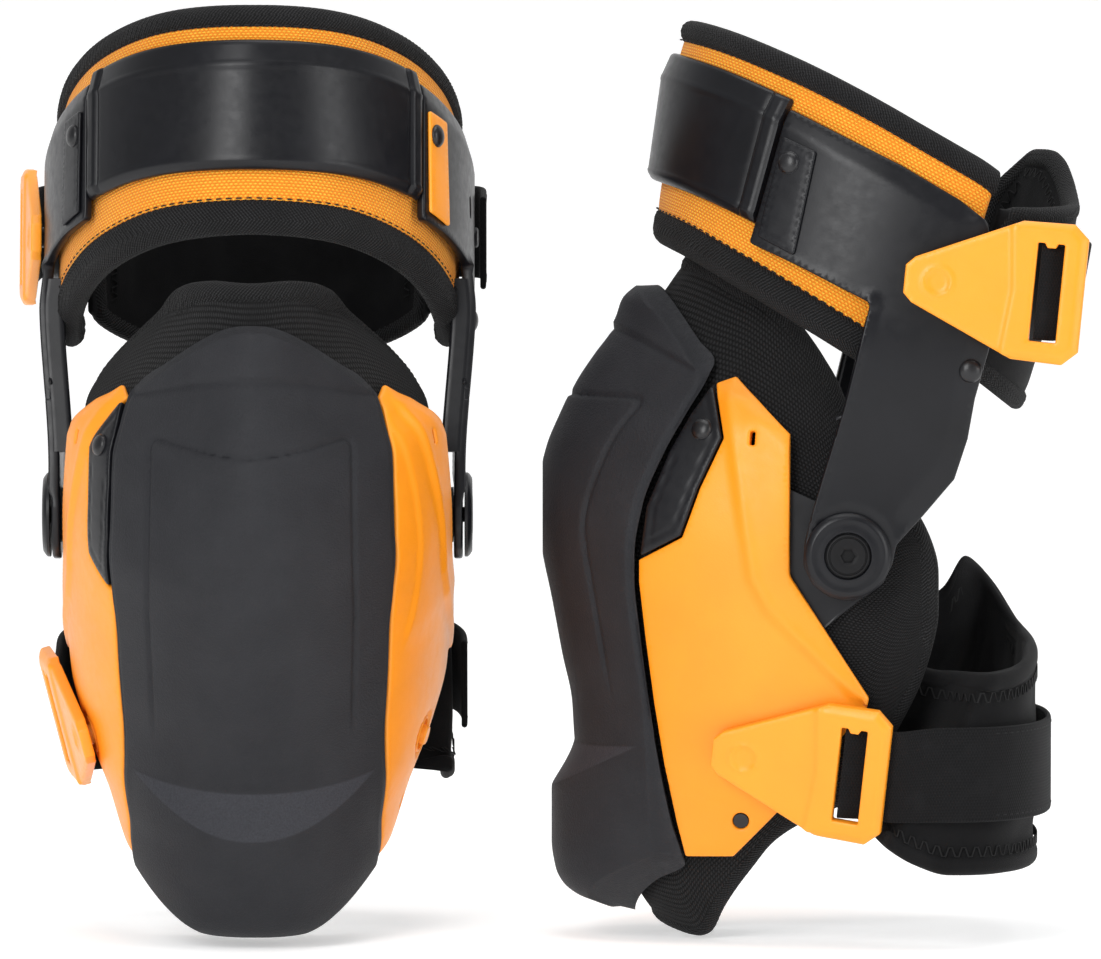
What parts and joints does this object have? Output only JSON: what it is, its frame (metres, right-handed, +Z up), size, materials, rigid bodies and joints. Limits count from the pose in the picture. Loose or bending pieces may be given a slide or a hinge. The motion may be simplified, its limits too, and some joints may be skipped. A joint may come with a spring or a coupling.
{
  "type": "knee pads",
  "caption": "Hinged knee pads for roofing and flooring work, with rubber knee caps, side shells, foam liners, swinging thigh frames, and calf and thigh straps.",
  "frame": {"origin": "centre of the bounding box's underside, on the surface both pads stand on", "axes": "+X from the right-leg pad, which shows its front, to the left-leg pad, which shows its outer side; +Y away from the viewer; +Z up"},
  "size_m": [0.4257, 0.2322, 0.3693],
  "materials": {
    "cap_rubber": "matt, fine texture",
    "orange_shell": "satin",
    "orange_buckle": "satin",
    "black_nylon": "satin",
    "black_rivet": "satin",
    "black_steel": "satin",
    "mesh_fabric": "woven",
    "neoprene": "matt",
    "orange_fabric": "basket weave",
    "webbing": "woven",
    "gel": "soft"
  },
  "bodies": {
    "right_knee": {"right_front_cap": "cap_rubber", "right_side_shell_outer": "orange_shell", "right_side_shell_inner": "orange_shell", "right_badge_plate": "black_nylon", "right_badge_rivet": "black_rivet", "right_knee_foam": "mesh_fabric", "right_gel_insert": "gel", "right_hinge_strut_outer": "black_nylon", "right_hinge_strut_inner": "black_nylon", "right_hinge_bolt_outer": "black_steel", "right_hinge_bolt_inner": "black_steel", "right_hinge_cap_outer": "black_nylon", "right_hinge_cap_inner": "black_nylon", "right_calf_wrap": "neoprene"},
    "right_thigh": {"right_thigh_arm_outer": "black_nylon", "right_thigh_arm_inner": "black_nylon", "right_front_band": "black_nylon", "right_band_plate_outer": "black_nylon", "right_band_plate_inner": "orange_shell", "right_band_rivet_outer": "black_rivet", "right_band_rivet_inner": "black_rivet", "right_arm_rivet_outer": "black_rivet", "right_arm_rivet_inner": "black_rivet", "right_thigh_foam": "orange_fabric"},
    "right_thigh_strap_set": {"right_thigh_buckle": "orange_buckle", "right_thigh_strap": "webbing", "right_thigh_strap_pad": "neoprene"},
    "right_calf_strap_set": {"right_calf_buckle": "orange_buckle", "right_calf_strap": "webbing"},
    "left_knee": {"left_front_cap": "cap_rubber", "left_side_shell_outer": "orange_shell", "left_side_shell_inner": "orange_shell", "left_badge_plate": "black_nylon", "left_badge_rivet": "black_rivet", "left_knee_foam": "mesh_fabric", "left_gel_insert": "gel", "left_hinge_strut_outer": "black_nylon", "left_hinge_strut_inner": "black_nylon", "left_hinge_bolt_outer": "black_steel", "left_hinge_bolt_inner": "black_steel", "left_hinge_cap_outer": "black_nylon", "left_hinge_cap_inner": "black_nylon", "left_calf_wrap": "neoprene"},
    "left_thigh": {"left_thigh_arm_outer": "black_nylon", "left_thigh_arm_inner": "black_nylon", "left_front_band": "black_nylon", "left_band_plate_outer": "black_nylon", "left_band_plate_inner": "orange_shell", "left_band_rivet_outer": "black_rivet", "left_band_rivet_inner": "black_rivet", "left_arm_rivet_outer": "black_rivet", "left_arm_rivet_inner": "black_rivet", "left_thigh_foam": "orange_fabric"},
    "left_thigh_strap_set": {"left_thigh_buckle": "orange_buckle", "left_thigh_strap": "webbing", "left_thigh_strap_pad": "neoprene"},
    "left_calf_strap_set": {"left_calf_buckle": "orange_buckle", "left_calf_strap": "webbing"}
  },
  "joints": [
    {"name": "pair_spread", "type": "slide", "parent": "right_knee", "child": "left_knee", "axis": [1, 0, 0], "range_m": [0, 0.15]},
    {"name": "right_thigh_hinge", "type": "hinge", "parent": "right_knee", "child": "right_thigh", "pos_m": [-0.11489, 0.00734, 0.16678], "axis": [-1, 0, 0], "range_deg": [-16, 33]},
    {"name": "right_thigh_strap_swivel", "type": "hinge", "parent": "right_thigh", "child": "right_thigh_strap_set", "pos_m": [-0.20089, 0.03488, 0.27616], "axis": [-0.9948, -0.1006, 0.0129], "range_deg": [-7, 7]},
    {"name": "right_calf_strap_swivel", "type": "hinge", "parent": "right_knee", "child": "right_calf_strap_set", "pos_m": [-0.1809, -0.00843, 0.08028], "axis": [-0.9498, -0.1661, -0.2651], "range_deg": [-8, 1.2]},
    {"name": "left_thigh_hinge", "type": "hinge", "parent": "left_knee", "child": "left_thigh", "pos_m": [0.11751, 0.00734, 0.15518], "axis": [0, 1, 0], "range_deg": [-4, 45]},
    {"name": "left_thigh_strap_swivel", "type": "hinge", "parent": "left_thigh", "child": "left_thigh_strap_set", "pos_m": [0.15261, -0.07866, 0.26238], "axis": [-0.0995, -0.9948, 0.0199], "range_deg": [-7, 7]},
    {"name": "left_calf_strap_swivel", "type": "hinge", "parent": "left_knee", "child": "left_calf_strap_set", "pos_m": [0.07851, -0.05867, 0.07638], "axis": [-0.2328, -0.9498, -0.209], "range_deg": [-1.2, 8]}
  ]
}
